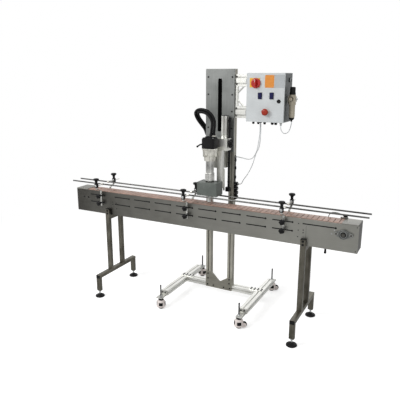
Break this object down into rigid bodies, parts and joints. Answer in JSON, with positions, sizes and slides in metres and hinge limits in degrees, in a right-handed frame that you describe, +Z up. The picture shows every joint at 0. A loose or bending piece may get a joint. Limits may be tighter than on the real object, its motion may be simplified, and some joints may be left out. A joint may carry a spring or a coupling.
{
  "type": "bottle capping machine",
  "caption": "Inline capping machine: slat-chain conveyor on levelling legs with guide rails, and a height-adjustable capping head on a wheeled column with a control cabinet.",
  "frame": {"origin": "on the floor, under the middle of the machine's bounding box", "axes": "+X along the conveyor towards its drive end, +Y from the operator's side towards the column, +Z up"},
  "size_m": [2.55, 0.9058, 1.918],
  "materials": {
    "stainless": "brushed stainless sheet",
    "leg_steel": "brushed stainless tube",
    "rod_steel": "bright drawn steel",
    "bed_plastic": "white wear strip",
    "chain_plastic": "brown slat chain",
    "profile": "clear anodised extrusion",
    "grey_plate": "satin plate",
    "guard_grey": "dark grey paint",
    "cabinet_grey": "light grey powder coat",
    "black_plastic": "black",
    "pad_plastic": "black nylon",
    "red_plastic": "red",
    "beige_plastic": "beige",
    "tube_plastic": "pale translucent tube",
    "caster_plastic": "pale grey housing",
    "wheel_rubber": "black"
  },
  "bodies": {
    "frame": {"front_side_plate": "stainless", "rear_side_plate": "stainless", "chain_bed": "bed_plastic", "slat_chain": "chain_plastic", "drive_end_cover": "stainless", "idler_end_cover": "stainless", "drive_bearing": "profile", "gearmotor": "profile", "left_leg_frame": "leg_steel", "right_leg_frame": "leg_steel", "levelling_foot_left_front": "pad_plastic", "levelling_foot_left_rear": "pad_plastic", "levelling_foot_right_front": "pad_plastic", "levelling_foot_right_rear": "pad_plastic", "front_rail_bracket_1": "profile", "front_rail_bracket_2": "profile", "front_rail_bracket_3": "profile", "rear_rail_bracket_1": "profile", "rear_rail_bracket_2": "profile", "rear_rail_bracket_3": "profile", "left_base_beam": "profile", "right_base_beam": "profile", "cross_beam": "profile", "left_post": "profile", "right_post": "profile", "base_gusset_plate": "grey_plate", "column_plate": "grey_plate", "cabinet_arms": "profile", "cabinet_box": "cabinet_grey", "air_unit": "beige_plastic", "air_tube_loop": "tube_plastic", "column_air_tubes": "tube_plastic", "valve_block": "black_plastic"},
    "carriage": {"height_carriage": "profile", "head_bracket": "profile", "head_motor": "black_plastic", "spindle_housing": "profile", "guard_box": "guard_grey", "head_hose": "black_plastic", "cable_conduit": "black_plastic"},
    "handwheel": {"handwheel": "black_plastic"},
    "quill": {"spindle_quill": "rod_steel"},
    "chuck": {"chuck": "rod_steel"},
    "drive_shaft": {"drive_shaft": "rod_steel"},
    "idler_shaft": {"idler_shaft": "rod_steel"},
    "front_rail": {"front_guide_rail": "rod_steel"},
    "rear_rail": {"rear_guide_rail": "rod_steel"},
    "door": {"cabinet_door": "cabinet_grey"},
    "main_switch": {"main_switch": "red_plastic"},
    "e_stop": {"e_stop": "red_plastic"},
    "key_lock": {"key_lock": "black_plastic"},
    "regulator_knob": {"regulator_knob": "black_plastic"},
    "caster_front_left": {"caster_front_left": "caster_plastic"},
    "wheel_front_left": {"caster_wheel_front_left": "wheel_rubber"},
    "caster_front_right": {"caster_front_right": "caster_plastic"},
    "wheel_front_right": {"caster_wheel_front_right": "wheel_rubber"},
    "caster_rear_left": {"caster_rear_left": "caster_plastic"},
    "wheel_rear_left": {"caster_wheel_rear_left": "wheel_rubber"},
    "caster_rear_right": {"caster_rear_right": "caster_plastic"},
    "wheel_rear_right": {"caster_wheel_rear_right": "wheel_rubber"}
  },
  "joints": [
    {"name": "carriage_height", "type": "slide", "parent": "frame", "child": "carriage", "axis": [0, 0, 1], "range_m": [0, 0.4]},
    {"name": "handwheel_turn", "type": "hinge", "parent": "carriage", "child": "handwheel", "pos_m": [0.183, -0.06423, 1.362], "axis": [1, 0, 0], "continuous": true},
    {"name": "quill_stroke", "type": "slide", "parent": "carriage", "child": "quill", "axis": [0, 0, 1], "range_m": [-0.01, 0.05]},
    {"name": "chuck_spin", "type": "hinge", "parent": "quill", "child": "chuck", "pos_m": [0.068, -0.16223, 0.95], "axis": [0, 0, 1], "continuous": true},
    {"name": "drive_shaft_spin", "type": "hinge", "parent": "frame", "child": "drive_shaft", "pos_m": [1.122, -0.16223, 0.823], "axis": [0, 1, 0], "continuous": true},
    {"name": "idler_shaft_spin", "type": "hinge", "parent": "frame", "child": "idler_shaft", "pos_m": [-1.122, -0.16223, 0.823], "axis": [0, 1, 0], "continuous": true},
    {"name": "front_rail_shift", "type": "slide", "parent": "frame", "child": "front_rail", "axis": [0, 1, 0], "range_m": [-0.04, 0.015]},
    {"name": "rear_rail_shift", "type": "slide", "parent": "frame", "child": "rear_rail", "axis": [0, 1, 0], "range_m": [-0.015, 0.04]},
    {"name": "caster_swivel_front_left", "type": "hinge", "parent": "frame", "child": "caster_front_left", "pos_m": [-0.281, -0.35423, 0.1], "axis": [0, 0, 1], "continuous": true},
    {"name": "caster_roll_front_left", "type": "hinge", "parent": "caster_front_left", "child": "wheel_front_left", "pos_m": [-0.29931, -0.31979, 0.026], "axis": [-0.8829, -0.4695, 0], "continuous": true},
    {"name": "caster_swivel_front_right", "type": "hinge", "parent": "frame", "child": "caster_front_right", "pos_m": [0.417, -0.35423, 0.1], "axis": [0, 0, 1], "continuous": true},
    {"name": "caster_roll_front_right", "type": "hinge", "parent": "caster_front_right", "child": "wheel_front_right", "pos_m": [0.45143, -0.33592, 0.026], "axis": [-0.4695, 0.8829, 0], "continuous": true},
    {"name": "caster_swivel_rear_left", "type": "hinge", "parent": "frame", "child": "caster_rear_left", "pos_m": [-0.281, 0.39577, 0.1], "axis": [0, 0, 1], "continuous": true},
    {"name": "caster_roll_rear_left", "type": "hinge", "parent": "caster_rear_left", "child": "wheel_rear_left", "pos_m": [-0.31477, 0.41527, 0.026], "axis": [-0.5, -0.866, 0], "continuous": true},
    {"name": "caster_swivel_rear_right", "type": "hinge", "parent": "frame", "child": "caster_rear_right", "pos_m": [0.417, 0.39577, 0.1], "axis": [0, 0, 1], "continuous": true},
    {"name": "caster_roll_rear_right", "type": "hinge", "parent": "caster_rear_right", "child": "wheel_rear_right", "pos_m": [0.45235, 0.41226, 0.026], "axis": [-0.4226, 0.9063, 0], "continuous": true},
    {"name": "cabinet_door_hinge", "type": "hinge", "parent": "frame", "child": "door", "pos_m": [0.343, -0.12643, 1.7145], "axis": [0, 0, -1], "range_deg": [0, 120]},
    {"name": "main_switch_turn", "type": "hinge", "parent": "door", "child": "main_switch", "pos_m": [0.417, -0.13243, 1.8155], "axis": [0, -1, 0], "range_deg": [0, 90]},
    {"name": "e_stop_press", "type": "slide", "parent": "door", "child": "e_stop", "axis": [0, 1, 0], "range_m": [0, 0.006]},
    {"name": "key_lock_turn", "type": "hinge", "parent": "door", "child": "key_lock", "pos_m": [0.59, -0.13243, 1.692], "axis": [0, -1, 0], "range_deg": [0, 90]},
    {"name": "regulator_knob_turn", "type": "hinge", "parent": "frame", "child": "regulator_knob", "pos_m": [0.6623, -0.04723, 1.75], "axis": [0, 0, 1], "continuous": true}
  ],
  "couplings": [
    {"joint": "idler_shaft_spin", "follows": "drive_shaft_spin", "ratio": 1}
  ]
}
